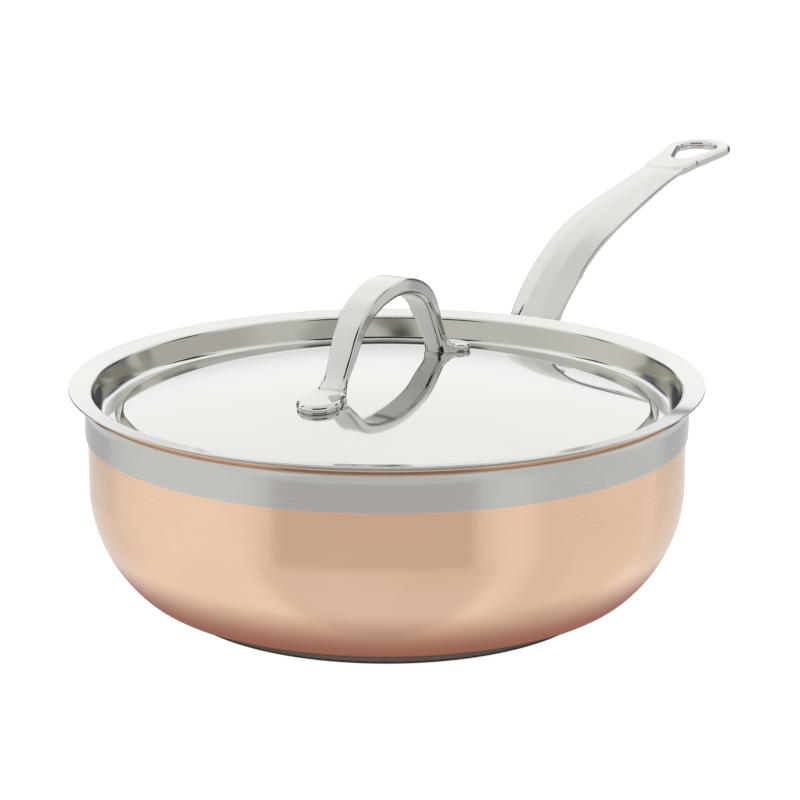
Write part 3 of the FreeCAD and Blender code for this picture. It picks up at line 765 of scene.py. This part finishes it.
def lid_metal():
    """Mirror-polished pressing whose upright wall is left rougher and carries painted shade: a darker beige
    tone that stands in for the darker surroundings the wall reflects.

    The rougher finish and the painted shade fade in at the wall's foot and out at the flange, each between
    two radii in metres.
    """
    material, n = new_material("steel_polished_lid")
    place = place_in_row(n)
    clouds = noise(n, place, 14.0, 4.0, 0.55)
    specks = noise(n, place, 420.0)
    radius = axis_distance(n, place)
    # mask of the upright wall, which gets both a rougher finish and painted shade
    rough_wall_and_painted_shade = n.math("MULTIPLY", n.ramp(radius, 0.1286, 0.1292), n.ramp(radius, 0.1315, 0.1325, 1.0, 0.0))
    bright = colours_between(n, n.ramp(clouds, 0.35, 0.65), (0.66, 0.655, 0.64), (0.645, 0.64, 0.625))
    # painted shade: the wall's darker beige colour stands in for the darker surroundings it reflects
    tone = colours_between(n, rough_wall_and_painted_shade, bright, (0.47, 0.46, 0.41))
    roughness = n.math("ADD", n.ramp(clouds, 0.35, 0.7, 0.045, 0.07), n.math("MULTIPLY", rough_wall_and_painted_shade, 0.05))
    finish_metal(n, tone, roughness, specks, 2e-7)
    return material


def cast_metal(name, light, dark, smooth, worn, marks):
    """Cast steel polished by hand: fine scratches along the piece and faint ripples."""
    material, n = new_material(name)
    place = place_in_row(n)
    stretch = n.add("ShaderNodeMapping", place)
    stretch.inputs["Scale"].default_value = (60.0, 1400.0, 900.0)
    lines = noise(n, stretch.outputs[0], 1.0)
    clouds = noise(n, place, 30.0, 3.0, 0.5)
    colour = colours_between(n, n.ramp(clouds, 0.3, 0.7), light, dark)
    roughness = n.ramp(clouds, 0.3, 0.75, smooth, worn)
    finish_metal(n, colour, roughness, lines, marks)
    return material


# ---------------------------------------------------------------- studio

CAMERA_PLACE = Vector((-1.0994, -0.6094, 0.4224))
CAMERA_AIM = Vector((0.0028, -0.0051, 0.0907))

# Soft zones of the studio as seen from the pan: azimuth from the camera's side (positive to the right in the
# picture) with half of its width, lowest and highest elevation, softness of the sides and of the top and
# bottom, and colour. Each is laid over the ones before it.
STUDIO_ZONES = {
    "table": (0, 180, -90, -2, 1, 4, (0.93, 0.93, 0.93)),
    "back_low": (180, 62, -30, 6, 14, 6, (0.80, 0.80, 0.79)),
    "backdrop": (180, 95, 8, 60, 25, 12, (1.24, 1.24, 1.23)),
    "right_side": (88, 30, -60, 22, 8, 4, (0.82, 0.81, 0.80)),
    "table_front": (-4.5, 46, -90, -16, 6, 4, (0.77, 0.77, 0.77)),
    "front_card": (-4.5, 38.5, -20, -2, 1.5, 4, (0.63, 0.575, 0.545)),
    "front_gap": (-3, 40, 25, 54, 3, 2, (0.03, 0.03, 0.03)),
    "left_gap": (-107, 7, 24, 45, 2, 4, (0.04, 0.04, 0.04)),
    "right_gap": (101, 11, 24, 45, 2, 4, (0.04, 0.04, 0.04)),
    "left_room": (-142, 16, -13, 22, 3, 5, (0.20, 0.21, 0.24)),
    "right_room": (142, 16, -13, 22, 3, 5, (0.20, 0.21, 0.24)),
    "left_post": (-137, 2.5, -10, 15, 1, 3, (0.03, 0.03, 0.03)),
    "right_post": (137, 2.5, -10, 15, 1, 3, (0.03, 0.03, 0.03)),
}


def build_world():
    world = bpy.data.worlds.new("studio")
    bpy.context.scene.world = world
    world.use_nodes = True
    n = Nodes(world.node_tree)
    way = n.add("ShaderNodeTexCoord").outputs["Generated"]
    height = n.add("ShaderNodeSeparateXYZ", way).outputs[2]
    elevation = n.math("DEGREES", n.math("ARCSINE", height))
    to_camera = Vector((CAMERA_PLACE.x, CAMERA_PLACE.y, 0)) - Vector((CAMERA_AIM.x, CAMERA_AIM.y, 0))
    facing = math.atan2(to_camera.y, to_camera.x)
    light = (1.0, 1.0, 1.0)
    for azimuth, half, low, high, side_soft, end_soft, colour in STUDIO_ZONES.values():
        # seen from the pan towards the camera, the picture's right is counterclockwise from above
        centre = facing + math.radians(azimuth)
        ahead = (math.cos(centre), math.sin(centre), 0)
        across = (-math.sin(centre), math.cos(centre), 0)
        forward = n.add("ShaderNodeVectorMath", way, ahead, operation="DOT_PRODUCT").outputs["Value"]
        sideways = n.add("ShaderNodeVectorMath", way, across, operation="DOT_PRODUCT").outputs["Value"]
        turn = n.math("ABSOLUTE", n.math("DEGREES", n.math("ARCTAN2", sideways, forward)))
        share = n.math("MULTIPLY",
                       n.ramp(elevation, low - end_soft, low + end_soft),
                       n.ramp(elevation, high - end_soft, high + end_soft, 1.0, 0.0))
        if half < 180:
            share = n.math("MULTIPLY", share, n.ramp(turn, half - side_soft, half + side_soft, 1.0, 0.0))
        light = colours_between(n, share, light, colour)
    background = n.add("ShaderNodeBackground", light, 1.0)
    n.add("ShaderNodeOutputWorld", background.outputs[0])


def table_square(name, reach, material):
    """Square on the table's plane that reaches as many metres each way."""
    mesh = bpy.data.meshes.new(name)
    corners = [(-reach, -reach, 0), (reach, -reach, 0), (reach, reach, 0), (-reach, reach, 0)]
    mesh.from_pydata(corners, [], [(0, 1, 2, 3)])
    mesh.materials.append(material)
    square = bpy.data.objects.new(name, mesh)
    bpy.context.scene.collection.objects.link(square)
    return square


def close_from_above(n, surface, hidden):
    """Output that shows a surface from above, and lets all light through from below or where it's hidden."""
    clear = n.add("ShaderNodeBsdfTransparent")
    below = n.add("ShaderNodeNewGeometry").outputs["Backfacing"]
    share = n.math("MAXIMUM", hidden, below)
    sides = n.add("ShaderNodeMixShader", share, surface.outputs[0], clear.outputs[0])
    n.add("ShaderNodeOutputMaterial", sides.outputs[0])


def build_floor():
    material, n = new_material("floor_white")
    diffuse = n.add("ShaderNodeBsdfDiffuse", (0.5, 0.5, 0.5, 1))
    glow = n.add("ShaderNodeEmission", (1, 1, 1, 1), 0.92)
    both = n.add("ShaderNodeAddShader", diffuse.outputs[0], glow.outputs[0])
    close_from_above(n, both, 0.0)
    floor = table_square("studio_floor", 30.0, material)
    floor.visible_glossy = False


def build_contact_shade():
    """Warm dark patch of table round the pan's foot, seen only in its reflections."""
    disc_edge, patch_start, patch_end = 0.099, 0.108, 0.152
    material, n = new_material("contact_shade")
    radius = axis_distance(n, place_in_row(n))
    tone = colours_between(n, n.ramp(radius, disc_edge, patch_start), (0.07, 0.07, 0.06), (0.36, 0.19, 0.17))
    glow = n.add("ShaderNodeEmission", tone, 1.0)
    close_from_above(n, glow, n.ramp(radius, patch_start, patch_end))
    shade = table_square("contact_shade", 0.22, material)
    shade.visible_camera = False
    shade.visible_diffuse = False
    shade.visible_transmission = False
    shade.visible_shadow = False


def build_camera():
    data = bpy.data.cameras.new("camera")
    data.lens = 130.3
    data.sensor_width = 36.0
    data.clip_start = 0.01
    data.clip_end = 100.0
    camera = bpy.data.objects.new("camera", data)
    bpy.context.scene.collection.objects.link(camera)
    camera.location = CAMERA_PLACE
    camera.rotation_mode = "QUATERNION"
    camera.rotation_quaternion = (CAMERA_AIM - CAMERA_PLACE).to_track_quat("-Z", "Y")
    bpy.context.scene.camera = camera


# ---------------------------------------------------------------- assembly

copper = turned_metal("copper_polished", (0.91, 0.64, 0.47), (0.86, 0.59, 0.43), 0.10, 0.16, 1.2e-6, 0.5)
band_steel = turned_metal("steel_satin_band", (0.60, 0.60, 0.58), (0.56, 0.56, 0.54), 0.17, 0.24, 2.5e-6, 0.6)
lid_steel = lid_metal()
base_steel = turned_metal("steel_base", (0.42, 0.41, 0.38), (0.36, 0.35, 0.33), 0.28, 0.36, 5e-6, 0.6)
liner_steel = turned_metal("steel_liner", (0.62, 0.61, 0.59), (0.57, 0.56, 0.54), 0.22, 0.30, 4e-6, 0.7)
core_metal = turned_metal("aluminium_edge", (0.62, 0.62, 0.62), (0.54, 0.54, 0.54), 0.35, 0.45, 4e-6, 0.0)
handle_steel = cast_metal("steel_cast_handle", (0.60, 0.60, 0.58), (0.575, 0.575, 0.555), 0.08, 0.12, 4e-7)
loop_steel = cast_metal("steel_cast_loop", (0.63, 0.63, 0.61), (0.60, 0.60, 0.58), 0.06, 0.09, 3e-7)

wall = wall_line()
core_face = COPPER + CORE
turned_pieces = [
    ("copper_body", sheet_outline(wall, 0, COPPER, 0.2), False,
     "pan", "copper_shell", "copper", copper),
    ("aluminium_layer", sheet_outline(wall, COPPER, core_face, 0.2), False,
     "pan", "aluminium_core", "aluminium", core_metal),
    ("steel_liner_bowl", sheet_outline(wall, core_face, core_face + LINER, 0.15), False,
     "pan", "cooking_liner", "steel_satin", liner_steel),
    ("steel_rim_band", sheet_outline(band_line(), 0, -BAND_THICKNESS, 0.35, open_start=True), True,
     "pan", "rim_band", "steel_satin", band_steel),
    ("steel_base_disc", solid_outline(base_line()), False,
     "pan", "induction_base", "steel_base", base_steel),
    ("lid_pressing", sheet_outline(lid_line(), 0, -LID_SHEET, 0.42), False,
     "lid", "lid_panel", "steel_polished", lid_steel),
]
for name, outline, closed, body, node, slot, material in turned_pieces:
    add_piece(name, turned_mesh(name, outline, closed), body, node, material)

casting = voxel_copy("handle_casting", "handle", handle_plugs(), 0.75)
settle(casting, handle_distance(), 5)
add_piece("handle_casting", casting, "pan", "handle", handle_steel)

loop = voxel_copy("loop_casting", "lid_handle", loop_plugs(), 0.55)
settle(loop, loop_distance(), 5)
add_piece("loop_casting", loop, "lid", "lid_handle", loop_steel)

add_handle_rivets(loop_steel)
add_lid_rivets(loop_steel)

build_world()
build_floor()
build_contact_shade()
build_camera()
bpy.context.scene.view_settings.view_transform = "Standard"
